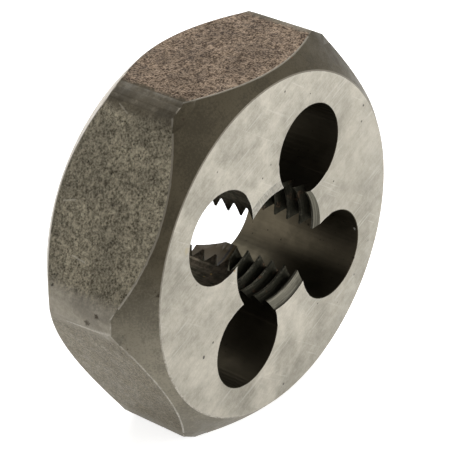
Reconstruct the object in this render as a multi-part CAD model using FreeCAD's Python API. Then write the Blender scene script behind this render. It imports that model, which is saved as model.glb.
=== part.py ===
import FreeCAD, Part
import math
import os

# Hexagon threading die, one piece of hardened steel, in millimetres.
# It stands on one flat of the hexagon, with its thread axis level along Y,
# the face seen first towards -Y, and the middle of its base flat at the origin.

# Hexagon blank, with its corners turned down and both faces chamfered
ACROSS_FLATS = 25.4
THICKNESS = 9.65
TURNED_CORNER_DIAMETER = 28.575
FACE_DIAMETER = 24.2
FACE_CHAMFER_ANGLE = 45.0

# Chip holes, drilled right through; the first one is seen up and to the right
CHIP_HOLE_COUNT = 4
CHIP_HOLE_DIAMETER = 6.4
CHIP_HOLE_CIRCLE = 13.48
FIRST_CHIP_HOLE_ANGLE = 60.0

# Internal thread, 3/8 inch with 24 threads to the inch, right hand
THREADS_PER_INCH = 24
THREAD_MAJOR_DIAMETER = 9.66
THREAD_MINOR_DIAMETER = 8.38
THREAD_CREST_FLAT = 0.16
THREAD_FLANK_ANGLE = 30.0
THREAD_START_ANGLE = 114.0

# Tapered lead of the thread on the rear face, where the cut starts
LEAD_DIAMETER = 11.0
LEAD_HALF_ANGLE = 24.0

INCH = 25.4
FLATS = 6
CUT_OVERLAP = 5.0
RIDGE_OVERLAP = 0.04

X_AXIS = FreeCAD.Vector(1, 0, 0)
Z_AXIS = FreeCAD.Vector(0, 0, 1)
CENTRE = FreeCAD.Vector(0, 0, 0)


def point_at(radius, angle, z=0.0):
    """Point at a radius and an angle in degrees about the thread axis."""
    turn = math.radians(angle)
    return FreeCAD.Vector(radius * math.cos(turn), radius * math.sin(turn), z)


def closed_face(points):
    """Flat face inside a closed outline of straight edges."""
    return Part.Face(Part.makePolygon(points + points[:1]))


def hexagon_bar():
    """Hexagonal blank on the thread axis, with one flat square to -Y."""
    corner_radius = ACROSS_FLATS / 2 / math.cos(math.pi / FLATS)
    step = 360.0 / FLATS
    corners = [point_at(corner_radius, step * k, -THICKNESS / 2) for k in range(FLATS)]
    return closed_face(corners).extrude(FreeCAD.Vector(0, 0, THICKNESS))


def turned_envelope():
    """Turned outline: the cylinder at the corners with a chamfer at each face."""
    corner_radius = TURNED_CORNER_DIAMETER / 2
    face_radius = FACE_DIAMETER / 2
    chamfer = (corner_radius - face_radius) * math.tan(math.radians(FACE_CHAMFER_ANGLE))
    front = THICKNESS / 2
    section = [
        FreeCAD.Vector(0, 0, -front),
        FreeCAD.Vector(face_radius, 0, -front),
        FreeCAD.Vector(corner_radius, 0, chamfer - front),
        FreeCAD.Vector(corner_radius, 0, front - chamfer),
        FreeCAD.Vector(face_radius, 0, front),
        FreeCAD.Vector(0, 0, front),
    ]
    return closed_face(section).revolve(CENTRE, Z_AXIS, 360)


def through_cylinder(diameter, centre):
    """Cylinder that runs past both faces of the die."""
    foot = FreeCAD.Vector(centre.x, centre.y, -THICKNESS / 2 - CUT_OVERLAP)
    return Part.makeCylinder(diameter / 2, THICKNESS + 2 * CUT_OVERLAP, foot)


def chip_holes():
    """Holes that clear the chips and leave the cutting lands between them."""
    step = 360.0 / CHIP_HOLE_COUNT
    angles = [FIRST_CHIP_HOLE_ANGLE + step * k for k in range(CHIP_HOLE_COUNT)]
    return [through_cylinder(CHIP_HOLE_DIAMETER, point_at(CHIP_HOLE_CIRCLE / 2, a)) for a in angles]


def thread_groove():
    """Helical groove of the thread, from below the rear face to above the front one."""
    pitch = INCH / THREADS_PER_INCH
    root_radius = THREAD_MAJOR_DIAMETER / 2
    inner_radius = THREAD_MINOR_DIAMETER / 2 - RIDGE_OVERLAP
    flank_slope = math.tan(math.radians(THREAD_FLANK_ANGLE))
    depth = (THREAD_MAJOR_DIAMETER - THREAD_MINOR_DIAMETER) / 2
    root_half = (pitch - THREAD_CREST_FLAT) / 2 - depth * flank_slope
    inner_half = root_half + (root_radius - inner_radius) * flank_slope
    turns = math.ceil(THICKNESS / pitch) + 3
    section = Part.makePolygon([
        FreeCAD.Vector(inner_radius, 0, -inner_half),
        FreeCAD.Vector(root_radius, 0, -root_half),
        FreeCAD.Vector(root_radius, 0, root_half),
        FreeCAD.Vector(inner_radius, 0, inner_half),
        FreeCAD.Vector(inner_radius, 0, -inner_half),
    ])
    helix = Part.Wire(Part.makeHelix(pitch, pitch * turns, root_radius))
    groove = helix.makePipeShell([section], True, True)
    # a crest meets the front face at the start angle, half a pitch below a groove
    groove.translate(FreeCAD.Vector(0, 0, THICKNESS / 2 + pitch / 2 - pitch * (turns - 1)))
    groove.rotate(CENTRE, Z_AXIS, THREAD_START_ANGLE)
    return groove


def thread_lead():
    """Cone that opens the thread at the rear face."""
    lead_radius = LEAD_DIAMETER / 2
    length = lead_radius / math.tan(math.radians(LEAD_HALF_ANGLE))
    return Part.makeCone(lead_radius, 0, length, FreeCAD.Vector(0, 0, -THICKNESS / 2))


def threaded_core():
    """Everything that the threading takes out: the bore, its groove and its lead."""
    bore = through_cylinder(THREAD_MINOR_DIAMETER, CENTRE)
    bore.rotate(CENTRE, Z_AXIS, FIRST_CHIP_HOLE_ANGLE)
    return bore.fuse(thread_groove()).fuse(thread_lead())


def stand_on_flat(shape):
    """Turn the thread axis level, front face to -Y, and rest the flat on Z = 0."""
    standing = shape.copy()
    standing.rotate(CENTRE, X_AXIS, 90)
    standing.translate(FreeCAD.Vector(0, 0, ACROSS_FLATS / 2))
    return standing


def threading_die():
    """The whole die as one solid."""
    blank = hexagon_bar().common(turned_envelope())
    return stand_on_flat(blank.cut(chip_holes()).cut(threaded_core()))


os.makedirs("parts", exist_ok=True)
threading_die().exportStep("parts/hex_die.step")
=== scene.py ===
import logging
import math
from dataclasses import dataclass
from enum import Enum
from typing import Callable

import bmesh
import bpy
from mathutils import Matrix, Vector


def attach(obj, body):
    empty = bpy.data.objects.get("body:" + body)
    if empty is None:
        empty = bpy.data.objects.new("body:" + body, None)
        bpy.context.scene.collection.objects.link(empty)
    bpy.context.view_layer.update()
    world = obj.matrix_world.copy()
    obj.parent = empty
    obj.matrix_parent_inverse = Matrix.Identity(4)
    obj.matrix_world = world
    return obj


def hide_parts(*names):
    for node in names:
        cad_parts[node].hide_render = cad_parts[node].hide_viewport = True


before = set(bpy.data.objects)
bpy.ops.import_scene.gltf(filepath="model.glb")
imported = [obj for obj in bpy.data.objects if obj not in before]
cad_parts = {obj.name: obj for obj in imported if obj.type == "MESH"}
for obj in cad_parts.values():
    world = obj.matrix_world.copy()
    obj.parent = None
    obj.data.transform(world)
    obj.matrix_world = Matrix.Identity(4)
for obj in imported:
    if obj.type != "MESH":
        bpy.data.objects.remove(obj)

LOG = logging.getLogger("threading_die")
MM = 0.001

# directions of the flats about the thread axis, in degrees; each stands for an opposite pair
FLAT_ANGLES = (30.0, 90.0, 150.0)
# bright metal on an edge: wear from handling, and a painted edge highlight
WORN_AND_LIT_STEEL = (0.60, 0.56, 0.48)

Colour = tuple[float, float, float]
Place = tuple[float, float, float]
Socket = bpy.types.NodeSocket
Sockets = dict[str, Socket]
Outputs = bpy.types.bpy_prop_collection
Look = tuple[Socket, Socket, Socket, float]


class Surface(Enum):
    """Kinds of surface on the die, in the order of the piece's material slots."""

    GROUND_FACE = 0
    CHAMFER = 1
    TOP_FLAT = 2
    LEFT_FLAT = 3
    LOWER_FLAT = 4
    TURNED_CORNER = 5
    CHIP_HOLE = 6
    THREAD = 7
    LEAD = 8
    WORN_RIM = 9
    REAR_CHAMFER = 10


@dataclass(frozen=True)
class DieSizes:
    """Sizes of the die in metres, with its axis along Y at the height of axis_z."""

    flat_distance: float = 12.7 * MM
    half_thickness: float = 4.825 * MM
    corner_radius: float = 14.2875 * MM
    face_radius: float = 12.1 * MM
    hole_radius: float = 3.2 * MM
    hole_circle_radius: float = 6.74 * MM
    first_hole_angle: float = 60.0
    hole_count: int = 4
    crest_radius: float = 4.19 * MM
    root_radius: float = 4.83 * MM
    lead_radius: float = 5.5 * MM
    lead_half_angle: float = 24.0
    axis_z: float = 12.7 * MM

    def hole_centres(self) -> list[tuple[float, float]]:
        """Finds the centres of the chip holes.

        Returns:
            Each centre's x and its height above the axis.
        """
        step, reach = 360.0 / self.hole_count, self.hole_circle_radius
        turns = [math.radians(self.first_hole_angle + step * k) for k in range(self.hole_count)]
        return [(reach * math.cos(t), reach * math.sin(t)) for t in turns]

    def radius(self, p: Vector) -> float:
        """Distance from a point to the thread axis."""
        return math.hypot(p.x, p.z - self.axis_z)

    def flat_gap(self, p: Vector) -> float:
        """Distance from a point to the nearest flat of the hexagon, positive inside."""
        u, w, turns = p.x, p.z - self.axis_z, map(math.radians, FLAT_ANGLES)
        return self.flat_distance - max(abs(u * math.cos(t) + w * math.sin(t)) for t in turns)

    def cone_gap(self, p: Vector) -> float:
        """Distance from a point to the chamfer cone of the nearer face, positive inside."""
        return (self.face_radius + self.half_thickness - abs(p.y) - self.radius(p)) / math.sqrt(2)

    def face_gap(self, p: Vector) -> float:
        """Distance from a point to the nearer face, positive inside."""
        return self.half_thickness - abs(p.y)

    def corner_gap(self, p: Vector) -> float:
        """Distance from a point to the turned corners, positive inside."""
        return self.corner_radius - self.radius(p)

    def hole_gap(self, p: Vector) -> float:
        """Distance from a point to the wall of the nearest chip hole, positive outside the hole."""
        u, w = p.x, p.z - self.axis_z
        return min(math.hypot(u - x, w - z) for x, z in self.hole_centres()) - self.hole_radius

    def lead_reach(self, p: Vector) -> float:
        """Radius of the lead cone, as far along the axis as a point is."""
        depth = self.half_thickness - p.y
        return self.lead_radius - depth * math.tan(math.radians(self.lead_half_angle))

    def lead_gap(self, p: Vector) -> float:
        """Distance from a point to the lead cone at the rear."""
        return (self.radius(p) - self.lead_reach(p)) * math.cos(math.radians(self.lead_half_angle))

    def wall_turn(self, p: Vector, radius: float) -> float:
        """Finds where the chip hole wall that a point is on meets another radius.

        Args:
            p: The point, on the wall of a chip hole.
            radius: The other distance from the thread axis, in metres.

        Returns:
            The turn about the thread axis, in radians.
        """
        u, w = p.x, p.z - self.axis_z
        x, z = min(self.hole_centres(), key=lambda c: math.hypot(u - c[0], w - c[1]))
        span = self.hole_circle_radius
        half = math.acos((radius ** 2 + span ** 2 - self.hole_radius ** 2) / (2 * radius * span))
        return math.atan2(z, x) + math.copysign(half, x * w - z * u)


SIZES = DieSizes()


class NodeBench:
    """Adds and joins nodes in one tree, so that a network reads as a sum."""

    def __init__(self, tree: bpy.types.NodeTree) -> None:
        """Takes the tree of a material, a world or a group, which the nodes go into."""
        self.tree = tree

    def add(self, kind: str, **settings: object) -> bpy.types.Node:
        """Adds a node and sets its properties.

        Args:
            kind: Blender's name of the node type.
            settings: Property names and their values.

        Returns:
            The new node.
        """
        node = self.tree.nodes.new(kind)
        for name, value in settings.items():
            setattr(node, name, value)
        return node

    def feed(self, node: bpy.types.Node, values: dict[int | str, object]) -> None:
        """Links a node's inputs to other sockets, or gives them plain values.

        Args:
            node: The node.
            values: Output sockets, numbers, vectors and colours, by the inputs' names or numbers.
        """
        for key, value in values.items():
            socket = node.inputs[key]
            if isinstance(value, bpy.types.NodeSocket):
                self.tree.links.new(value, socket)
            else:
                socket.default_value = (*value, 1.0) if socket.type == "RGBA" else value

    def put(self, kind: str, values: dict[int | str, object], **settings: object) -> Outputs:
        """Adds a node with its properties and its input values.

        Args:
            kind: Blender's name of the node type.
            values: Input values, as feed takes them.
            settings: Property names and their values.

        Returns:
            The node's outputs.
        """
        node = self.add(kind, **settings)
        self.feed(node, values)
        return node.outputs

    def math(self, operation: str, a: object, b: object = 0.0, clamp: bool = False) -> Socket:
        """One sum, such as ADD, on two values, kept between 0 and 1 if asked."""
        values = {0: a, 1: b}
        return self.put("ShaderNodeMath", values, operation=operation, use_clamp=clamp)[0]

    def times(self, a: object, b: object) -> Socket:
        """One value times another."""
        return self.math("MULTIPLY", a, b)

    def over(self, a: object, b: object) -> Socket:
        """One value divided by another."""
        return self.math("DIVIDE", a, b)

    def plus(self, a: object, b: object, clamp: bool = False) -> Socket:
        """One value plus another, kept between 0 and 1 if asked."""
        return self.math("ADD", a, b, clamp)

    def minus(self, a: object, b: object) -> Socket:
        """One value minus another."""
        return self.math("SUBTRACT", a, b)

    def most(self, a: object, b: object) -> Socket:
        """The larger of two values."""
        return self.math("MAXIMUM", a, b)

    def least(self, a: object, b: object) -> Socket:
        """The smaller of two values."""
        return self.math("MINIMUM", a, b)

    def weighted(self, *parts: tuple[object, object], clamp: bool = False) -> Socket:
        """Sum of several values, each times its own weight.

        Args:
            parts: The values, each with its weight.
            clamp: Whether the sum is kept between 0 and 1.

        Returns:
            The sum's socket.
        """
        total = self.times(*parts[0])
        for value, weight in parts[1:]:
            total = self.plus(total, self.times(value, weight), clamp)
        return total

    def length(self, a: Socket, b: Socket) -> Socket:
        """Length of the long side over two short ones."""
        return self.math("SQRT", self.weighted((a, a), (b, b)))

    def around(self, at: Socket) -> tuple[Socket, Socket, Socket, Socket]:
        """Splits a position by the thread axis.

        Args:
            at: Position in metres.

        Returns:
            Sockets of the place across, along and above the axis, and of the distance from it.
        """
        across, along, height = self.put("ShaderNodeSeparateXYZ", {0: at})
        above = self.minus(height, SIZES.axis_z)
        return across, along, above, self.length(across, above)

    def vector(self, operation: str, a: object, b: object) -> Outputs:
        """One sum, such as SUBTRACT, on two vectors, as the outputs Vector and Value."""
        return self.put("ShaderNodeVectorMath", {0: a, 1: b}, operation=operation)

    def scaled(self, at: Socket, factor: Socket) -> Socket:
        """A vector times a factor."""
        values = {"Vector": at, "Scale": factor}
        return self.put("ShaderNodeVectorMath", values, operation="SCALE")[0]

    def ramp(self, value: object, low: object, high: object, to_low: object = 0.0,
             to_high: object = 1.0) -> Socket:
        """Smooth step of a value, from low to high, to a result from to_low to to_high."""
        values = dict(enumerate((value, low, high, to_low, to_high)))
        return self.put("ShaderNodeMapRange", values, interpolation_type="SMOOTHSTEP")[0]

    def noise(self, at: Socket, size: float, detail: float = 3.0, rough: float = 0.55) -> Socket:
        """Cloudy noise, about 0.5 on average, with features of one size in metres."""
        values = {"Vector": at, "Scale": 1 / size, "Detail": detail, "Roughness": rough}
        return self.put("ShaderNodeTexNoise", values)["Fac"]

    def cells(self, at: Socket, size: float) -> Socket:
        """Distance to the nearest of scattered points, in parts of their spacing in metres."""
        values = {"Vector": at, "Scale": 1 / size}
        return self.put("ShaderNodeTexVoronoi", values)["Distance"]

    def stretch(self, at: Socket, turn: float, scale: Place) -> Socket:
        """Turns a position about Y and stretches it, for lines that run one way.

        Args:
            at: Position in metres.
            turn: Angle in degrees.
            scale: Factor along each axis after the turn.

        Returns:
            Socket of the changed position.
        """
        angles = (0.0, math.radians(turn), 0.0)
        turned = self.put("ShaderNodeMapping", {"Vector": at, "Rotation": angles})[0]
        return self.put("ShaderNodeMapping", {"Vector": turned, "Scale": scale})[0]

    def mix(self, share: object, a: object, b: object, blend: str = "MIX") -> Socket:
        """Mixes a share of a second colour into a first one."""
        values = {0: share, 6: a, 7: b}
        return self.put("ShaderNodeMix", values, data_type="RGBA", blend_type=blend)[2]

    def shaded(self, colour: Socket, value: Socket) -> Socket:
        """A colour times a value, such as 0.9 for a little darker."""
        grey = self.put("ShaderNodeCombineColor", {0: value, 1: value, 2: value})[0]
        return self.mix(1.0, colour, grey, "MULTIPLY")

    def covered(self, colour: Socket, *layers: tuple[Socket, object, object]) -> Socket:
        """Lays further colours over a first one.

        Args:
            colour: The first colour.
            layers: Each further colour's mask, the strength of the mask, and the colour.

        Returns:
            Socket of the colour with all layers.
        """
        for mask, strength, other in layers:
            colour = self.mix(self.times(mask, strength), colour, other)
        return colour


Fill = Callable[[NodeBench, Sockets], Sockets]


@dataclass
class EffectGroup:
    """A shader node group that more than one finish uses, built on its first use."""

    fill: Fill
    inputs: dict[str, float | Place]
    tree: bpy.types.NodeTree | None = None

    def build(self) -> bpy.types.NodeTree:
        """Builds the group's tree.

        Returns:
            The tree, with a Position input beside the group's own ones.
        """
        tree = bpy.data.node_groups.new(self.fill.__name__, "ShaderNodeTree")
        for label, value in ({"Position": (0.0, 0.0, 0.0)} | self.inputs).items():
            kind = "NodeSocketVector" if isinstance(value, tuple) else "NodeSocketFloat"
            socket = tree.interface.new_socket(label, in_out="INPUT", socket_type=kind)
            socket.default_value = value
        bench = NodeBench(tree)
        entry = bench.add("NodeGroupInput")
        results = self.fill(bench, {s.name: s for s in entry.outputs if s.name})
        for label in results:
            tree.interface.new_socket(label, in_out="OUTPUT", socket_type="NodeSocketFloat")
        bench.put("NodeGroupOutput", results)
        return tree

    def __call__(self, b: NodeBench, at: Socket, **values: float | Place) -> Sockets:
        """Puts the group into a material with its own values.

        Args:
            b: Bench of the material's tree.
            at: Position in metres.
            values: Input values by name.

        Returns:
            The outputs by name.
        """
        self.tree = self.tree or self.build()
        outputs = b.put("ShaderNodeGroup", {"Position": at, **values}, node_tree=self.tree)
        return {s.name: s for s in outputs}


def effect(**inputs: float | Place) -> Callable[[Fill], EffectGroup]:
    """Turns the fill below it into an effect group, with the inputs' default values."""
    return lambda fill: EffectGroup(fill, inputs)


@effect(Size=1.0)
def blasted_grain(b: NodeBench, i: Sockets) -> Sockets:
    """Pitted, scaled skin of the flats: two noises, crooked ridges and scattered pits.

    Args:
        b: Bench of the group.
        i: Its inputs: Position and Size.

    Returns:
        Tone, Pits, Ridges and Height.
    """
    at = b.scaled(i["Position"], b.over(1.0, i["Size"]))
    coarse, fine = b.noise(at, 0.40 * MM, 2.0, 0.6), b.noise(at, 0.17 * MM, 4.0, 0.75)
    blend = b.weighted((coarse, 0.3), (fine, 0.7))
    crooked = b.math("ABSOLUTE", b.minus(b.noise(at, 0.45 * MM, 2.0, 0.6), 0.5))
    patchy = b.ramp(b.noise(at, 1.3 * MM, 1.0), 0.5, 0.64)
    ridges = b.times(b.ramp(crooked, 0.022, 0.0), patchy)
    gate = b.ramp(b.noise(at, 1.1 * MM, 1.0), 0.52, 0.64)
    pits = b.times(b.ramp(b.cells(at, 0.30 * MM), 0.30, 0.12), gate)
    height = b.weighted((blend, 1.0), (ridges, 0.3), (pits, -0.5))
    return {"Tone": b.ramp(blend, 0.33, 0.69), "Pits": pits, "Ridges": ridges, "Height": height}


@effect()
def soft_mottle(b: NodeBench, i: Sockets) -> Sockets:
    """Slow changes of tone, as Mottle for large soft clouds and Fine for smaller ones."""
    return {"Mottle": b.ramp(b.noise(i["Position"], 2.6 * MM, 4.0, 0.62), 0.36, 0.64),
            "Fine": b.ramp(b.noise(i["Position"], 0.7 * MM, 4.0, 0.65), 0.36, 0.64)}


@effect()
def grinding_lines(b: NodeBench, i: Sockets) -> Sockets:
    """Fine scratches across a ground face: noise stretched two ways, with gated deeper ones.

    Args:
        b: Bench of the group.
        i: Its inputs: Position.

    Returns:
        Lines and Scratches.
    """
    at, long_thin = i["Position"], (0.03, 1.0, 1.0)
    lay = b.noise(b.stretch(at, 28.0, (0.07, 1.0, 1.0)), 0.13 * MM, 3.0, 0.65)
    long = b.ramp(b.noise(b.stretch(at, 22.0, long_thin), 0.17 * MM, 1.0, 0.5), 0.62, 0.72)
    cross = b.ramp(b.noise(b.stretch(at, -35.0, long_thin), 0.15 * MM, 1.0, 0.5), 0.66, 0.74)
    gate = b.ramp(b.noise(at, 2.6 * MM, 1.0), 0.42, 0.58)
    scratches = b.weighted((long, gate), (cross, b.minus(1.0, gate)))
    return {"Lines": b.ramp(lay, 0.34, 0.66), "Scratches": scratches}


@effect()
def turning_rings(b: NodeBench, i: Sockets) -> Sockets:
    """Rings that a lathe leaves: noise that hardly changes round the thread axis.

    Args:
        b: Bench of the group.
        i: Its inputs: Position.

    Returns:
        Rings.
    """
    across, along, _, radius = b.around(i["Position"])
    values = {0: radius, 1: b.times(along, 0.5), 2: b.times(across, 0.03)}
    unrolled = b.put("ShaderNodeCombineXYZ", values)[0]
    return {"Rings": b.ramp(b.noise(unrolled, 0.12 * MM, 2.0, 0.6), 0.3, 0.7)}


@effect(Across=-1.0, Up=0.0, From=0.0, To=1.0)
def darker_stretch(b: NodeBench, i: Sockets) -> Sockets:
    """Share of painted shade, by the direction from the axis beside that of Across and Up.

    Args:
        b: Bench of the group.
        i: Its inputs: Position, Across, Up, From and To.

    Returns:
        Share.
    """
    across, _, above, radius = b.around(i["Position"])
    lean = b.over(b.weighted((across, i["Across"]), (above, i["Up"])), radius)
    drift = b.times(b.minus(b.noise(i["Position"], 3.0 * MM, 2.0), 0.5), 0.3)
    return {"Share": b.ramp(b.plus(lean, drift), i["From"], i["To"])}


@effect()
def dark_specks(b: NodeBench, i: Sockets) -> Sockets:
    """Sparse specks of dirt, as Specks: a few of many scattered dots."""
    dots = b.ramp(b.cells(i["Position"], 0.9 * MM), 0.13, 0.06)
    return {"Specks": b.times(dots, b.ramp(b.noise(i["Position"], 1.7 * MM, 0.0), 0.58, 0.63))}


@effect(Width=0.1 * MM)
def rim_wear(b: NodeBench, i: Sockets) -> Sockets:
    """Bright metal along each kind of edge, as wear and as a painted edge highlight, from how far a
    point is from the edge.

    Args:
        b: Bench of the group.
        i: Its inputs: Position and Width.

    Returns:
        Outer, Face, Rim and Corner.
    """
    across, along, above, radius = b.around(i["Position"])
    deep = b.minus(SIZES.half_thickness, b.math("ABSOLUTE", along))

    def towards(angle: float) -> Socket:
        """How far a point is from the axis in one direction, in degrees."""
        turn = math.radians(angle)
        return b.weighted((across, math.cos(turn)), (above, math.sin(turn)))

    reach: object = 0.0
    for angle in FLAT_ANGLES:
        reach = b.most(reach, b.math("ABSOLUTE", towards(angle)))
    flat = b.minus(SIZES.flat_distance, reach)
    cone = b.times(b.minus(b.plus(SIZES.face_radius, deep), radius), math.sqrt(0.5))
    corner = b.minus(SIZES.corner_radius, radius)
    wall: object = b.minus(radius, SIZES.crest_radius)
    for x, z in SIZES.hole_centres():
        away = b.length(b.minus(across, x), b.minus(above, z))
        wall = b.least(wall, b.minus(away, SIZES.hole_radius))
    ragged = b.ramp(b.noise(i["Position"], 0.5 * MM, 3.0, 0.6), 0.3, 0.7, 0.45, 1.5)
    width = b.times(i["Width"], ragged)

    def line(first: Socket, second: Socket) -> Socket:
        """Mask of the edge where two surfaces meet."""
        return b.ramp(b.over(b.most(first, second), width), 1.0, 0.35)

    # painted shade: the Outer line is weaker on the side of the painted shade
    kept = b.ramp(b.over(towards(Finish.darkest), radius), -0.5, 0.9, 1.0, 0.25)
    return {"Outer": b.times(line(flat, cone), kept), "Face": line(cone, deep),
            "Rim": line(deep, wall), "Corner": line(flat, corner)}


@effect(Place=(0.0, 0.0, 0.0), Run=(0.0, 0.0, 0.0), Gauge=(0.0, 0.0, 0.0), Size=0.1 * MM,
        Strength=1.0)
def ragged_mark(b: NodeBench, i: Sockets) -> Sockets:
    """Share of one ragged spot or line, by the distance from the line that Place and Run give.

    Args:
        b: Bench of the group.
        i: Its inputs: Position, Place, Run, Gauge, Size and Strength.

    Returns:
        Share.
    """
    offset = b.vector("SUBTRACT", i["Position"], i["Place"])["Vector"]
    part = b.vector("DOT_PRODUCT", offset, i["Gauge"])["Value"]
    part = b.most(b.least(part, 1.0), 0.0)
    nearest = b.vector("ADD", b.scaled(i["Run"], part), i["Place"])["Vector"]
    away = b.vector("DISTANCE", i["Position"], nearest)["Value"]
    uneven = b.minus(b.noise(i["Position"], 0.14 * MM, 2.0), 0.5)
    ragged = b.plus(away, b.times(uneven, b.times(i["Size"], 1.6)))
    return {"Share": b.ramp(ragged, i["Size"], b.times(i["Size"], 0.4), 0.0, i["Strength"])}


@dataclass(frozen=True)
class Mark:
    """One pit, speck, stain or line on the die, in metres; a line runs on to its end."""

    place: Place
    size: float = 0.16 * MM
    colour: Colour = (0.03, 0.024, 0.018)
    end: Place | None = None
    strength: float = 0.9


@dataclass(frozen=True)
class Finish:
    """A steel finish. The base class opens the material and closes it with one shader."""

    name: str
    metal: float = 0.6
    specular: float = 0.5
    edge_tint: Colour = (1.0, 1.0, 1.0)
    marks: tuple[Mark, ...] = ()
    # turn about the axis in degrees, towards which painted shade darkens the finish
    darkest: float = 100.0

    def material(self) -> bpy.types.Material:
        """Builds the material.

        Returns:
            The new material.
        """
        made = bpy.data.materials.new(self.name)
        made.use_nodes = True
        bench = NodeBench(made.node_tree)
        position = bench.add("ShaderNodeTexCoord").outputs["Object"]
        colour, rough, height, depth = self.network(bench, position)
        for mark in self.marks:
            colour = self.marked(bench, position, colour, mark)
        relief = {"Strength": 1.0, "Distance": depth, "Height": height}
        bench.feed(made.node_tree.nodes["Principled BSDF"], {
            "Metallic": self.metal, "Specular IOR Level": self.specular,
            "Specular Tint": self.edge_tint, "Base Color": colour, "Roughness": rough,
            "Normal": bench.put("ShaderNodeBump", relief)[0]})
        return made

    @staticmethod
    def marked(b: NodeBench, at: Socket, colour: Socket, mark: Mark) -> Socket:
        """Lays one ragged mark over the colour.

        Args:
            b: Bench of the material's tree.
            at: Position in metres.
            colour: Colour without the mark.
            mark: The mark.

        Returns:
            Colour with the mark.
        """
        run = Vector(mark.end or mark.place) - Vector(mark.place)
        gauge = run / run.length_squared if mark.end else run
        share = ragged_mark(b, at, Place=mark.place, Run=tuple(run), Gauge=tuple(gauge),
                            Size=mark.size, Strength=mark.strength)
        return b.mix(share["Share"], colour, mark.colour)

    def film_side(self) -> dict[str, float]:
        """Direction in which the painted shade is darkest, as the side-shade group takes it."""
        turn = math.radians(self.darkest)
        return {"Across": math.cos(turn), "Up": math.sin(turn)}

    def network(self, b: NodeBench, at: Socket) -> Look:
        """Builds what changes over the surface.

        Args:
            b: Bench of the material's tree.
            at: Position in metres.

        Returns:
            Colour, roughness, height and the depth in metres of a full height.
        """
        raise NotImplementedError


@dataclass(frozen=True)
class GroundFace(Finish):
    """The ground faces: pale warm steel with fine diagonal scratches and soft clouds, and painted
    shade towards +X.
    """

    light: Colour = (0.60, 0.557, 0.463)
    dark: Colour = (0.235, 0.218, 0.172)
    speck: Colour = (0.05, 0.045, 0.035)
    scratch: Colour = (0.66, 0.63, 0.56)
    edge: Colour = (0.62, 0.59, 0.52)
    rubbed: Colour = (0.20, 0.19, 0.16)
    depth: float = 0.005 * MM

    def network(self, b: NodeBench, at: Socket) -> Look:
        """Builds the ground steel. Args and Returns are those of Finish."""
        cloud = soft_mottle(b, at)
        lay = grinding_lines(b, at)
        speck = dark_specks(b, at)["Specks"]
        worn_and_lit = rim_wear(b, at, Width=0.07 * MM)
        # painted shade: the face is darker towards +X
        painted_right_shade = darker_stretch(b, at, Across=0.99, Up=-0.10, From=0.2, To=0.9)
        broad = b.ramp(b.noise(at, 6.0 * MM, 3.0, 0.6), 0.36, 0.64)
        grain = b.ramp(b.noise(at, 0.12 * MM, 2.0, 0.6), 0.3, 0.7)
        share = b.weighted((cloud["Mottle"], 0.30), (cloud["Fine"], 0.13), (lay["Lines"], 0.13),
                           (broad, 0.32), (grain, 0.12), clamp=True)
        rubbed = self.rubbed_band(b, at)
        # the light face and hole rims are wear and a painted edge highlight
        colour = b.covered(b.mix(share, self.light, self.dark), (painted_right_shade["Share"], 0.28, self.dark),
                           (lay["Scratches"], 0.28, self.scratch),
                           (b.most(worn_and_lit["Face"], worn_and_lit["Rim"]), 0.4, self.edge),
                           (rubbed, 0.75, self.rubbed), (speck, 0.85, self.speck))
        rough = b.plus(0.40, b.times(cloud["Fine"], 0.14))
        height = b.weighted((lay["Lines"], 0.5), (lay["Scratches"], -0.7), (rubbed, -1.0))
        return colour, rough, height, self.depth

    @staticmethod
    def rubbed_band(b: NodeBench, at: Socket) -> Socket:
        """Mask of the darker cross-hatched band beside the bore, on the upper land.

        Args:
            b: Bench of the material's tree.
            at: Position in metres.

        Returns:
            Socket of the mask.
        """
        _, along, above, radius = b.around(at)
        band = b.ramp(radius, SIZES.root_radius + 0.06 * MM, SIZES.root_radius)
        front = b.ramp(along, 0.0, -1.0 * MM)
        lines = [b.noise(b.stretch(at, turn, (0.15, 1.0, 1.0)), 0.10 * MM, 1.0)
                 for turn in (20.0, -65.0)]
        land = b.times(b.ramp(above, 2.6 * MM, 3.2 * MM), b.times(band, front))
        return b.times(land, b.ramp(b.times(*lines), 0.14, 0.32, 1.0, 0.35))


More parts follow.
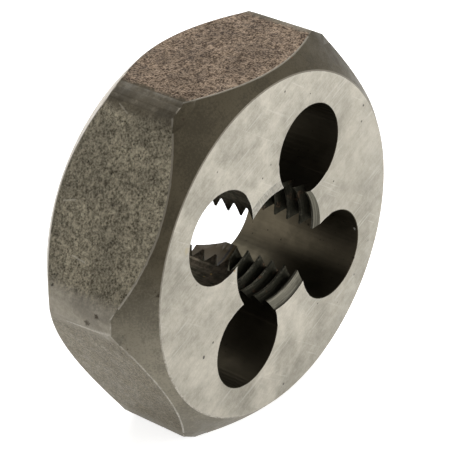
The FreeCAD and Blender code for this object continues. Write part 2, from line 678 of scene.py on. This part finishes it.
@dataclass(frozen=True)
class ScaledFlat(Finish):
    """A flat with a grainy, pitted skin that thins out towards its turned corners, with painted
    shade on one side and a painted highlight along a corner.
    """

    light: Colour = (0.30, 0.26, 0.20)
    dark: Colour = (0.07, 0.06, 0.045)
    corner: Colour = (0.37, 0.335, 0.27)
    # colour of the thin skin on the side of painted shade
    film: Colour = (0.063, 0.052, 0.034)
    # colour and strength of the painted highlight along the lower left of a turned corner
    line: Colour = (0.50, 0.46, 0.39)
    corner_line: float = 0.0
    grain: float = 1.0
    contrast: float = 1.0
    pits: float = 0.8
    clouds: float = 1.0
    thin_reach: float = 0.60 * MM
    # shorter reach of the thinning skin on the side of painted shade
    film_reach: float = 0.22 * MM
    darkest: float = 110.0
    depth: float = 0.06 * MM

    def network(self, b: NodeBench, at: Socket) -> Look:
        """Builds the skin. Args and Returns are those of Finish."""
        skin = blasted_grain(b, at, Size=self.grain)
        cloud = soft_mottle(b, at)
        worn_and_lit = rim_wear(b, at, Width=0.06 * MM)
        line = rim_wear(b, at, Width=0.085 * MM)["Corner"]
        # painted shade, darkest towards the turn in darkest
        film = darker_stretch(b, at, From=0.3, To=0.9, **self.film_side())["Share"]
        across, _, above, radius = b.around(at)
        tone = b.plus(0.5, b.times(b.minus(skin["Tone"], 0.5), self.contrast), clamp=True)
        uneven = b.times(b.minus(cloud["Fine"], 0.5), 0.12 * MM)
        reach = b.ramp(film, 0.0, 1.0, self.thin_reach, self.film_reach)
        past = b.minus(b.plus(radius, uneven), b.minus(SIZES.corner_radius, reach))
        thin = b.ramp(b.over(past, reach), 0.0, 0.85)
        smooth = b.shaded(b.mix(film, self.corner, self.film), b.ramp(tone, 0.0, 1.0, 0.88, 1.12))
        colour = b.covered(b.mix(tone, self.dark, self.light),
                           (skin["Ridges"], 0.35, tuple(1.5 * v for v in self.light)),
                           (skin["Pits"], self.pits, tuple(0.25 * v for v in self.dark)),
                           (thin, 0.9, smooth))
        darker, lighter = 1.0 - 0.18 * self.clouds, 1.0 + 0.14 * self.clouds
        colour = b.shaded(colour, b.ramp(cloud["Mottle"], 0.0, 1.0, darker, lighter))
        # painted highlight: a light line along the turned corner, on its lower left only
        left = b.ramp(across, 0.0, -1.0 * MM, 0.0, self.corner_line)
        below = b.times(b.ramp(above, 0.0, -0.3 * MM), left)
        colour = b.covered(colour, (worn_and_lit["Outer"], 0.8, WORN_AND_LIT_STEEL), (line, below, self.line))
        rough = b.plus(0.52, b.times(cloud["Fine"], 0.18))
        height = b.times(skin["Height"], b.ramp(thin, 0.0, 1.0, 1.0, 0.25))
        return colour, rough, height, self.depth * self.contrast


@dataclass(frozen=True)
class TurnedSurface(Finish):
    """The chamfers: smooth steel with faint turning rings, darker on one side by painted shade."""

    light: Colour = (0.268, 0.243, 0.186)
    # colour of the steel on the side of painted shade
    film: Colour = (0.066, 0.055, 0.035)
    speck: Colour = (0.04, 0.026, 0.018)
    darkest: float = 105.0
    depth: float = 0.0015 * MM

    def network(self, b: NodeBench, at: Socket) -> Look:
        """Builds the turned steel. Args and Returns are those of Finish."""
        cloud = soft_mottle(b, at)
        rings = turning_rings(b, at)["Rings"]
        speck = dark_specks(b, at)["Specks"]
        worn_and_lit = rim_wear(b, at, Width=0.06 * MM)
        # painted shade, darkest towards the turn in darkest
        film = darker_stretch(b, at, From=-0.12, To=0.65, **self.film_side())["Share"]
        grain = b.ramp(b.noise(at, 0.15 * MM, 3.0, 0.7), 0.3, 0.7)
        share = b.weighted((cloud["Mottle"], 0.4), (rings, 0.1), (grain, 0.5))
        colour = b.shaded(b.mix(film, self.light, self.film), b.ramp(share, 0.2, 0.8, 0.82, 1.18))
        colour = b.covered(colour, (worn_and_lit["Outer"], 0.8, WORN_AND_LIT_STEEL), (speck, 0.7, self.speck))
        rough = b.plus(0.42, b.times(cloud["Fine"], 0.12))
        return colour, rough, b.plus(rings, grain), self.depth


@dataclass(frozen=True)
class OilyWall(Finish):
    """The drilled walls: bare dark steel under oil, made nearly black by painted shade but for
    painted light on one side of the last hole.
    """

    light: Colour = (0.108, 0.091, 0.062)
    dark: Colour = (0.066, 0.056, 0.038)
    rust: Colour = (0.125, 0.096, 0.072)
    dirt: Colour = (0.01, 0.008, 0.006)
    # colour factor of the painted shade on the walls, outside the painted light
    oiled: float = 0.28
    depth: float = 0.0015 * MM

    def network(self, b: NodeBench, at: Socket) -> Look:
        """Builds the wall. Args and Returns are those of Finish."""
        cloud = soft_mottle(b, at)
        speck = dark_specks(b, at)["Specks"]
        drawn = b.noise(b.stretch(at, 0.0, (1.0, 0.06, 1.0)), 0.14 * MM, 2.0, 0.6)
        share = b.weighted((cloud["Mottle"], 0.4), (drawn, 0.6), clamp=True)
        # painted shade darkens the walls, with painted light on one side of the last hole
        colour = b.shaded(b.mix(share, self.dark, self.light), self.drier_hole(b, at))
        across, _, above, _ = b.around(at)
        left = b.times(b.ramp(across, -2.0 * MM, -3.0 * MM), b.ramp(above, -1.0 * MM, 0.0))
        brown = b.ramp(b.noise(at, 0.55 * MM, 4.0, 0.7), 0.36, 0.66)
        gate = b.ramp(b.noise(at, 1.1 * MM, 1.0), 0.5, 0.6)
        dots = b.times(b.ramp(b.cells(at, 0.45 * MM), 0.16, 0.08), gate)
        colour = b.covered(colour, (b.times(brown, left), 0.6, self.rust),
                           (b.most(speck, dots), 0.75, self.dirt))
        rough = b.plus(0.46, b.times(cloud["Fine"], 0.08))
        return colour, rough, drawn, self.depth

    def drier_hole(self, b: NodeBench, at: Socket) -> Socket:
        """Colour factor of painted shade on the walls, with painted light on one side of the last
        hole.

        Args:
            b: Bench of the material's tree.
            at: Position in metres.

        Returns:
            Socket of the factor on the steel's colour.
        """
        across, along, above, _ = b.around(at)
        x, z = SIZES.hole_centres()[-1]
        out, up = x / SIZES.hole_circle_radius, z / SIZES.hole_circle_radius
        towards = b.weighted((across, out), (above, up))
        side = b.weighted((b.minus(across, x), -up), (b.minus(above, z), out))
        # painted light on one side of the last hole, weaker towards the front face
        lit_side = b.ramp(b.over(side, SIZES.hole_radius), -0.58, -0.16, 0.32, 1.0)
        lit_side = b.times(lit_side, b.ramp(along, -4.0 * MM, 2.5 * MM, 0.6, 1.0))
        return b.ramp(towards, 3.0 * MM, 4.0 * MM, self.oiled, b.most(lit_side, self.oiled))


@dataclass(frozen=True)
class CutThread(Finish):
    """The thread: brushed flanks with painted light near the front face and a painted highlight on
    the crests, oily and darkened by painted shade deeper in.
    """

    bright: Colour = (0.138, 0.130, 0.104)
    oily: Colour = (0.015, 0.0135, 0.009)
    rust: Colour = (0.10, 0.052, 0.03)
    dirt: Colour = (0.006, 0.006, 0.004)
    depth: float = 0.020 * MM

    def network(self, b: NodeBench, at: Socket) -> Look:
        """Builds the thread. Args and Returns are those of Finish."""
        _, along, _, radius = b.around(at)
        face, crest = -SIZES.half_thickness, SIZES.crest_radius
        # painted light on the flanks near the front face; deeper in, painted shade
        front = b.ramp(along, face + 0.45 * MM, face + 0.75 * MM, 1.0, 0.0)
        deeper = b.minus(1.0, front)
        # painted highlight on the crests
        tips = b.ramp(radius, crest + 0.02 * MM, crest + 0.14 * MM, 1.0, 0.0)
        rings = turning_rings(b, at)["Rings"]
        brushed = b.weighted((rings, 0.65), (b.noise(at, 0.25 * MM, 3.0, 0.65), 0.35))
        patch = b.ramp(b.noise(at, 0.6 * MM, 2.0), 0.40, 0.58)
        painted_light = b.most(b.times(tips, b.times(patch, 0.4)), front)
        painted_light = b.times(painted_light, b.ramp(brushed, 0.35, 0.65, 0.45, 1.0))
        stain = b.times(b.ramp(b.noise(at, 0.8 * MM, 2.0), 0.60, 0.70), deeper)
        dirt = b.ramp(b.noise(at, 0.17 * MM, 3.0, 0.7), 0.56, 0.44, 0.0, 0.8)
        colour = b.covered(b.mix(painted_light, self.oily, self.bright), (stain, 0.5, self.rust),
                           (dirt, deeper, self.dirt))
        return colour, b.plus(0.42, b.times(brushed, 0.2)), brushed, self.depth


@dataclass(frozen=True)
class WornRim(Finish):
    """The rounded edges: steel rubbed light by handling and by a painted edge highlight, in an
    uneven line, with painted shade on one side.
    """

    bare: Colour = (0.60, 0.56, 0.475)
    kept: Colour = (0.30, 0.27, 0.215)
    # colour of the rim on the side of painted shade
    film: Colour = (0.15, 0.13, 0.095)
    depth: float = 0.006 * MM

    def network(self, b: NodeBench, at: Socket) -> Look:
        """Builds the rim. Args and Returns are those of Finish."""
        cloud = soft_mottle(b, at)
        grain = b.noise(at, 0.18 * MM, 3.0, 0.6)
        patchy = b.ramp(grain, 0.35, 0.65, -0.1, 0.5)
        share = b.plus(b.times(cloud["Fine"], 0.5), patchy, clamp=True)
        # painted shade, darkest towards the turn in darkest
        film = darker_stretch(b, at, From=-0.5, To=0.8, **self.film_side())["Share"]
        colour = b.mix(film, b.mix(share, self.kept, self.bare), self.film)
        return colour, b.plus(0.42, b.times(cloud["Mottle"], 0.12)), grain, self.depth


def spot(across: float, along: float, up: float) -> Place:
    """A place on the die in metres, from millimetres."""
    return across * MM, along * MM, up * MM


PIT = (0.055, 0.040, 0.026)
SCRATCH = (0.60, 0.55, 0.45)
DARK_SPOT = (0.035, 0.026, 0.016)
# near-black painted shade of a gap
GAP_SHADE = (0.006, 0.005, 0.004)

CORNER_PITS = (
    Mark(spot(-14.19, -1.49, 13.13), 0.26 * MM, PIT, strength=0.85),
    Mark(spot(-14.19, -0.59, 12.34), 0.28 * MM, PIT, strength=0.80),
    Mark(spot(-14.10, -1.75, 12.80), 0.17 * MM, (0.075, 0.050, 0.032), strength=0.8),
    Mark(spot(-13.98, 2.50, 13.89), 0.14 * MM),
)
# light lines along the lower left corner: painted highlight
CORNER_HIGHLIGHTS = (
    Mark(spot(-14.05, 2.90, 11.28), 0.14 * MM, (0.62, 0.58, 0.50), spot(-14.17, 0.07, 11.76), 0.75),
    Mark(spot(-14.17, 0.07, 11.76), 0.16 * MM, WORN_AND_LIT_STEEL, spot(-14.19, -2.69, 12.18), 0.8),
    Mark(spot(-14.16, -2.10, 11.75), 0.38 * MM, (0.50, 0.465, 0.40), strength=0.45),
)
FLAT_SCRATCHES = (
    Mark(spot(-7.82, 1.62, 24.55), 0.08 * MM, (0.50, 0.46, 0.37), spot(-8.03, 0.79, 24.19), 0.28),
    Mark(spot(-12.86, 1.65, 15.82), 0.07 * MM, SCRATCH, spot(-12.92, 0.58, 15.72), 0.5),
    Mark(spot(-11.34, 3.63, 18.46), 0.07 * MM, SCRATCH, spot(-11.17, 2.73, 18.76), 0.4),
)
CHAMFER_SPOTS = (
    Mark(spot(-12.03, -4.72, 14.80), 0.17 * MM, DARK_SPOT),
    Mark(spot(-12.15, -4.62, 15.05), 0.12 * MM, DARK_SPOT),
    Mark(spot(2.59, -4.01, 25.35), 0.11 * MM, (0.13, 0.05, 0.025)),
)
FACE_SPECKS = (
    Mark(spot(9.50, -4.825, 19.32), 0.13 * MM),
    Mark(spot(-7.98, -4.825, 8.11), 0.15 * MM),
    Mark(spot(0.45, -4.825, 1.48), 0.13 * MM),
    Mark(spot(4.35, -4.825, 6.06), 0.10 * MM),
    Mark(spot(6.13, -4.825, 14.93), 0.09 * MM),
    Mark(spot(3.54, -4.825, 22.62), 0.07 * MM),
    Mark(spot(-1.59, -4.825, 18.56), 0.09 * MM),
    Mark(spot(-4.62, -4.80, 13.06), 0.11 * MM, (0.36, 0.20, 0.07), strength=0.8),
    Mark(spot(-9.29, -4.825, 16.77), 0.30 * MM, (0.44, 0.37, 0.22), strength=0.45),
)
WALL_SPECKS = (
    Mark(spot(9.00, -4.56, 9.80), 0.13 * MM, (0.55, 0.54, 0.50)),
    Mark(spot(-5.62, -3.67, 12.88), 0.11 * MM, (0.30, 0.19, 0.06), strength=0.8),
    Mark(spot(-6.14, -3.50, 12.88), 0.09 * MM, (0.26, 0.17, 0.07), strength=0.8),
)


def packing_gap(y: float = 1.24 * MM, size: float = 0.11 * MM) -> tuple[Mark, ...]:
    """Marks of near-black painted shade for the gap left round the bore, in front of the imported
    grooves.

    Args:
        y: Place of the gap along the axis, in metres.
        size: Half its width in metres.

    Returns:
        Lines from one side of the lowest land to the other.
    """
    turns = [math.radians(a) for a in (309.0, 297.0, 285.0, 273.0, 261.0)]
    reach = SIZES.crest_radius
    spots = [(reach * math.cos(t), y, SIZES.axis_z + reach * math.sin(t)) for t in turns]
    return tuple(Mark(a, size, GAP_SHADE, b, 0.95) for a, b in zip(spots, spots[1:]))


FINISHES: dict[Surface, Finish] = {
    Surface.GROUND_FACE: GroundFace("ground_face", metal=0.3, marks=FACE_SPECKS),
    Surface.CHAMFER: TurnedSurface(
        "turned_chamfer", metal=0.25, specular=0.1, marks=CHAMFER_SPOTS),
    # the flats are one scaled skin in tones that differ by staining and by painted light and shade
    # for the way each faces
    Surface.TOP_FLAT: ScaledFlat(
        "scaled_top_flat", light=(0.345, 0.258, 0.183), dark=(0.024, 0.012, 0.006),
        metal=0.0, specular=0.04, grain=0.8, contrast=1.45, pits=0.6),
    Surface.LEFT_FLAT: ScaledFlat(
        "scaled_side_flat", light=(0.47, 0.418, 0.302), dark=(0.046, 0.038, 0.023),
        film=(0.085, 0.071, 0.048), film_reach=0.42 * MM, metal=0.05, specular=0.12,
        marks=CORNER_PITS + FLAT_SCRATCHES),
    Surface.LOWER_FLAT: ScaledFlat(
        "scaled_lower_flat", light=(0.452, 0.402, 0.305), dark=(0.076, 0.065, 0.043),
        metal=0.05, specular=0.12, grain=0.6, contrast=0.8, pits=0.5, clouds=0.35,
        marks=CORNER_HIGHLIGHTS),
    Surface.TURNED_CORNER: ScaledFlat(
        "turned_corner", light=(0.35, 0.31, 0.235), dark=(0.12, 0.103, 0.073),
        metal=0.05, specular=0.12, contrast=0.7, pits=0.4, corner_line=0.25,
        marks=CORNER_PITS + CORNER_HIGHLIGHTS),
    Surface.CHIP_HOLE: OilyWall(
        "oily_hole_wall", metal=1.0, edge_tint=(0.93, 0.92, 0.82), marks=WALL_SPECKS),
    Surface.THREAD: CutThread("cut_thread", metal=0.7, edge_tint=(0.70, 0.69, 0.54)),
    # the lead cone takes a milder painted shade, and painted shade of the gap round the bore
    Surface.LEAD: OilyWall(
        "lead_cone", light=(0.063, 0.045, 0.020), dark=(0.031, 0.021, 0.009),
        metal=0.0, specular=0.08, oiled=0.85, marks=packing_gap()),
    Surface.WORN_RIM: WornRim("worn_rim", metal=0.3),
    # the rear chamfer is a lighter copy of the chamfer steel: painted light
    Surface.REAR_CHAMFER: TurnedSurface(
        "turned_rear_chamfer", light=(0.52, 0.485, 0.42), film=(0.40, 0.36, 0.30), metal=0.5),
}


@dataclass
class ThreadingDie:
    """The die: the CAD solid's own form with rounded edges, and a finish on each surface."""

    node: str = "hex_die"
    name: str = "threading_die"
    outer_rim: float = 0.06 * MM
    corner_rim: float = 0.60 * MM
    corner_end: float = 0.72 * MM
    hole_rim: float = 0.05 * MM
    hole_rim_from: float = 0.4 * MM
    rim_steps: int = 3
    touch: float = 0.012 * MM
    near: float = 0.03 * MM
    flatness: float = 0.4
    sharp_angle: float = 28.0
    level: float = 0.999
    upright: float = 0.05
    leaning: float = 0.2
    slant_spare: float = 0.04
    thread_spare: float = 0.3 * MM
    hole_reach: float = 0.5 * MM
    corner_depth: float = 0.35 * MM
    packed_land: tuple[float, float] = (260.0, 310.0)
    packed_from: float = 1.15 * MM
    packed_spare: float = 0.25 * MM
    root_spare: float = 0.05 * MM
    sizes: DieSizes = SIZES

    def build(self) -> bpy.types.Object:
        """Builds and dresses the die.

        Returns:
            The finished piece, riding on the root body in place of the CAD node.
        """
        piece = bpy.data.objects.new(self.name, self.rounded_mesh())
        bpy.context.scene.collection.objects.link(piece)
        self.soften(piece)
        self.dress(piece)
        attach(piece, "root")
        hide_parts(self.node)
        return piece

    def rounded_mesh(self) -> bpy.types.Mesh:
        """Copies the CAD solid's mesh, clears needless edges and weights the rims.

        Returns:
            A mesh whose edges carry the width of their rounding.
        """
        bm = bmesh.new()
        bm.from_mesh(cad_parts[self.node].data)
        bmesh.ops.remove_doubles(bm, verts=bm.verts, dist=1e-7)
        self.pack_grooves(bm)
        bmesh.ops.dissolve_limit(bm, angle_limit=math.radians(self.flatness), verts=bm.verts,
                                 edges=bm.edges, delimit=set())
        self.clear_corner_ends(bm)
        weight = bm.edges.layers.float.new("bevel_weight_edge")
        for edge in bm.edges:
            edge[weight] = self.rounding(edge) / self.corner_rim
        mesh = bpy.data.meshes.new(self.name)
        bm.to_mesh(mesh)
        bm.free()
        return mesh

    def on(self, vert: bmesh.types.BMVert, *gaps: Callable[[Vector], float]) -> bool:
        """Whether a corner of the mesh lies on all the given surfaces."""
        return all(abs(gap(vert.co)) < self.touch for gap in gaps)

    def pack_grooves(self, bm: bmesh.types.BMesh) -> None:
        """Fills the last grooves of the lowest land, which are smooth as if packed with old dirt.

        Args:
            bm: Mesh of the solid. Its groove corners move in to the crests or to the lead's cone.
        """
        s = self.sizes
        for vert in bm.verts:
            p, reach = vert.co, s.radius(vert.co)
            goal = max(s.crest_radius, s.lead_reach(p))
            if self.packed(p) and goal < reach < s.root_radius + self.root_spare:
                on_wall = self.on(vert, s.hole_gap)
                turn = s.wall_turn(p, goal) if on_wall else math.atan2(p.z - s.axis_z, p.x)
                vert.co = (goal * math.cos(turn), p.y, s.axis_z + goal * math.sin(turn))

    def packed(self, p: Vector, spare: float = 0.0) -> bool:
        """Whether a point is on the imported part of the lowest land.

        Args:
            p: The point.
            spare: How much further forward the part is taken to reach, in metres.

        Returns:
            True on that part.
        """
        low, high = self.packed_land
        turn = math.degrees(math.atan2(p.z - self.sizes.axis_z, p.x)) % 360.0
        return low < turn < high and p.y > self.packed_from - spare

    def clear_corner_ends(self, bm: bmesh.types.BMesh) -> None:
        """Welds the short steps of the rim beside each corner's ends.

        The corner's rounding, which is wider than those steps, can then end in the chamfer.

        Args:
            bm: Mesh of the solid.
        """
        s = self.sizes
        ends = [v for v in bm.verts if self.on(v, s.flat_gap, s.corner_gap, s.cone_gap)]

        def between(vert: bmesh.types.BMVert) -> bool:
            """Whether a corner of the mesh is on the rim and is no end."""
            return self.on(vert, s.flat_gap, s.cone_gap) and vert not in ends

        moves: dict[bmesh.types.BMVert, bmesh.types.BMVert] = {}
        for end in ends:
            for edge in end.link_edges:
                step, vert, passed = edge, edge.other_vert(end), []
                while between(vert) and (vert.co - end.co).length < self.corner_end:
                    passed.append(vert)
                    step = next(e for e in vert.link_edges if e is not step
                                and self.on(e.other_vert(vert), s.flat_gap, s.cone_gap))
                    vert = step.other_vert(vert)
                if between(vert):
                    moves.update({v: vert for v in passed})
        LOG.info("%d corner ends, %d short steps welded", len(ends), len(moves))
        bmesh.ops.weld_verts(bm, targetmap=moves)

    def rounding(self, edge: bmesh.types.BMEdge) -> float:
        """Width of the rounding on an edge, by the surfaces that meet there.

        Args:
            edge: An edge of the solid.

        Returns:
            The width in metres, 0 for an edge that stays sharp.
        """
        s, ends = self.sizes, edge.verts

        def both_on(*gaps: Callable[[Vector], float]) -> bool:
            """Whether both ends lie on all the given surfaces."""
            return all(self.on(v, *gaps) for v in ends)

        meets_corner = any(self.on(v, s.flat_gap, s.corner_gap) for v in ends)
        if both_on(s.cone_gap) and meets_corner and not both_on(s.face_gap):
            return 0.0
        if both_on(s.flat_gap, s.corner_gap):
            return self.corner_rim
        if both_on(s.cone_gap) and any(map(both_on, (s.flat_gap, s.face_gap, s.corner_gap))):
            return self.outer_rim
        clear = all(s.radius(v.co) > s.lead_radius + self.hole_rim_from for v in ends)
        return self.hole_rim if both_on(s.face_gap, s.hole_gap) and clear else 0.0

    def soften(self, piece: bpy.types.Object) -> None:
        """Rounds the weighted edges and keeps the result as the piece's mesh.

        Args:
            piece: The die.
        """
        bevel = piece.modifiers.new("rims", "BEVEL")
        bevel.limit_method = "WEIGHT"
        bevel.width = self.corner_rim
        bevel.segments = self.rim_steps
        bevel.use_clamp_overlap = False
        bevel.offset_type = "OFFSET"
        graph = bpy.context.evaluated_depsgraph_get()
        made = bpy.data.meshes.new_from_object(piece.evaluated_get(graph))
        piece.modifiers.clear()
        piece.data = made
        made.name = self.name

    def dress(self, piece: bpy.types.Object) -> None:
        """Gives each face its finish, and keeps real edges crisp in the shading.

        Args:
            piece: The die.
        """
        mesh = piece.data
        mesh.materials.clear()
        for surface in Surface:
            mesh.materials.append(FINISHES[surface].material())
        for polygon in mesh.polygons:
            polygon.material_index = self.surface_of(polygon.center, polygon.normal).value
        mesh.shade_smooth()
        mesh.set_sharp_from_angle(angle=math.radians(self.sharp_angle))

    def surface_of(self, p: Vector, normal: Vector) -> Surface:
        """Tells what kind of surface a face belongs to.

        Args:
            p: The face's centre.
            normal: Its normal.

        Returns:
            The kind of surface.
        """
        s, lean, radius = self.sizes, abs(normal.y), self.sizes.radius(p)
        if lean > self.level and s.face_gap(p) < self.near:
            return Surface.GROUND_FACE
        if abs(s.hole_gap(p)) < self.near and lean < self.leaning:
            return Surface.CHIP_HOLE
        if radius < s.lead_radius + self.thread_spare:
            on_lead = abs(s.lead_gap(p)) < self.near and p.y > 0 and normal.y > self.leaning
            packed = self.packed(p, self.packed_spare)
            return Surface.LEAD if on_lead or packed else Surface.THREAD
        if radius < s.face_radius - self.hole_reach:
            return Surface.CHIP_HOLE
        if s.flat_gap(p) < self.near and lean < self.upright:
            return self.flat_facing(normal)
        if s.corner_gap(p) < self.corner_depth and lean < 2 * self.upright:
            return Surface.TURNED_CORNER
        if abs(lean - math.sqrt(0.5)) < self.slant_spare:
            return Surface.CHAMFER if p.y < 0.0 else Surface.REAR_CHAMFER
        return Surface.WORN_RIM

    @staticmethod
    def flat_facing(normal: Vector) -> Surface:
        """Tells which finish a flat has, by the way it faces.

        Args:
            normal: The flat's normal.

        Returns:
            The kind of flat, with the unseen flats like the seen ones opposite or beside them.
        """
        if normal.z > 0.9:
            return Surface.TOP_FLAT
        return Surface.LEFT_FLAT if normal.z > 0.0 else Surface.LOWER_FLAT


@dataclass(frozen=True)
class Lamp:
    """A soft square lamp that faces the die: its place and side in metres, its power in watts."""

    name: str
    place: Place
    side: float
    energy: float

    def hang(self) -> None:
        """Adds the lamp to the scene."""
        data = bpy.data.lights.new(self.name, "AREA")
        data.size, data.energy = self.side, self.energy
        lamp = bpy.data.objects.new(self.name, data)
        lamp.location = self.place
        aim = Vector((0.0, 0.0, SIZES.axis_z)) - Vector(self.place)
        lamp.rotation_euler = aim.to_track_quat("-Z", "Y").to_euler()
        bpy.context.scene.collection.objects.link(lamp)


LAMPS = (
    Lamp("key_lamp", (0.18, -0.41, 0.15), 0.30, 1.12),
    Lamp("back_lamp", (0.25, 0.30, 0.41), 0.40, 3.3),
    Lamp("left_lamp", (-0.345, 0.249, 0.159), 0.20, 0.20),
)


@dataclass
class Studio:
    """Camera, lamps, floor and surround."""

    eye: Place = (-0.096398, -0.080223, 0.085387)
    right: Place = (0.62935, -0.77687, -0.01985)
    up: Place = (0.40066, 0.30249, 0.86485)
    lens: float = 171.549
    sensor: float = 36.0
    view_from: float = 0.005
    view_to: float = 10.0
    floor_size: float = 3.0
    floor_drop: float = 1e-5
    floor_grey: float = 0.75
    floor_rough: float = 0.9
    ambient: float = 0.30
    glow: float = 0.78

    def build(self) -> None:
        """Builds everything that isn't part of the object."""
        self.camera()
        self.floor()
        self.surround()
        for lamp in LAMPS:
            lamp.hang()

    def camera(self) -> None:
        """Makes the camera at the photograph's viewing angle."""
        data = bpy.data.cameras.new("camera")
        data.lens, data.sensor_width = self.lens, self.sensor
        data.clip_start, data.clip_end = self.view_from, self.view_to
        camera = bpy.data.objects.new("camera", data)
        right, up = Vector(self.right).normalized(), Vector(self.up).normalized()
        back = right.cross(up).normalized()
        up = back.cross(right)
        turn = Matrix((right, up, back)).transposed().to_4x4()
        camera.matrix_world = Matrix.Translation(self.eye) @ turn
        bpy.context.scene.collection.objects.link(camera)
        bpy.context.scene.camera = camera

    def floor(self) -> None:
        """Lays a pale floor that keeps the die's shadow."""
        half = self.floor_size / 2
        mesh = bpy.data.meshes.new("floor")
        corners = [(x * half, y * half, -self.floor_drop)
                   for x, y in ((-1, -1), (1, -1), (1, 1), (-1, 1))]
        mesh.from_pydata(corners, [], [(0, 1, 2, 3)])
        floor = bpy.data.objects.new("floor", mesh)
        bpy.context.scene.collection.objects.link(floor)
        material = bpy.data.materials.new("pale_floor")
        material.use_nodes = True
        bench = NodeBench(material.node_tree)
        bench.feed(material.node_tree.nodes["Principled BSDF"], {
            "Base Color": (self.floor_grey,) * 3, "Roughness": self.floor_rough,
            "Specular IOR Level": 0.0, "Emission Color": (1.0, 1.0, 1.0),
            "Emission Strength": bench.times(self.seen(bench), self.glow)})
        mesh.materials.append(material)

    @staticmethod
    def seen(bench: NodeBench) -> Socket:
        """Mask of the rays that show the background: camera, glossy and transmission rays."""
        path = bench.add("ShaderNodeLightPath").outputs
        return bench.most(bench.most(path["Is Camera Ray"], path["Is Glossy Ray"]),
                          path["Is Transmission Ray"])

    def surround(self) -> None:
        """Makes the white surround, plain light for the object and white where it is seen."""
        world = bpy.data.worlds.new("surround")
        world.use_nodes = True
        bench = NodeBench(world.node_tree)
        strength = bench.most(self.seen(bench), self.ambient)
        bench.feed(world.node_tree.nodes["Background"], {"Color": (1.0, 1.0, 1.0),
                                                         "Strength": strength})
        bpy.context.scene.world = world
        bpy.context.scene.view_settings.view_transform = "Standard"


def main() -> None:
    logging.basicConfig(level=logging.INFO, format="%(name)s: %(message)s")
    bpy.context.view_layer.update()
    Studio().build()
    LOG.info("camera, lamps, floor and surround are in place")
    die = ThreadingDie().build()
    die.data.calc_loop_triangles()
    LOG.info("%s has %d triangles", die.name, len(die.data.loop_triangles))


if __name__ == "__main__":
    main()
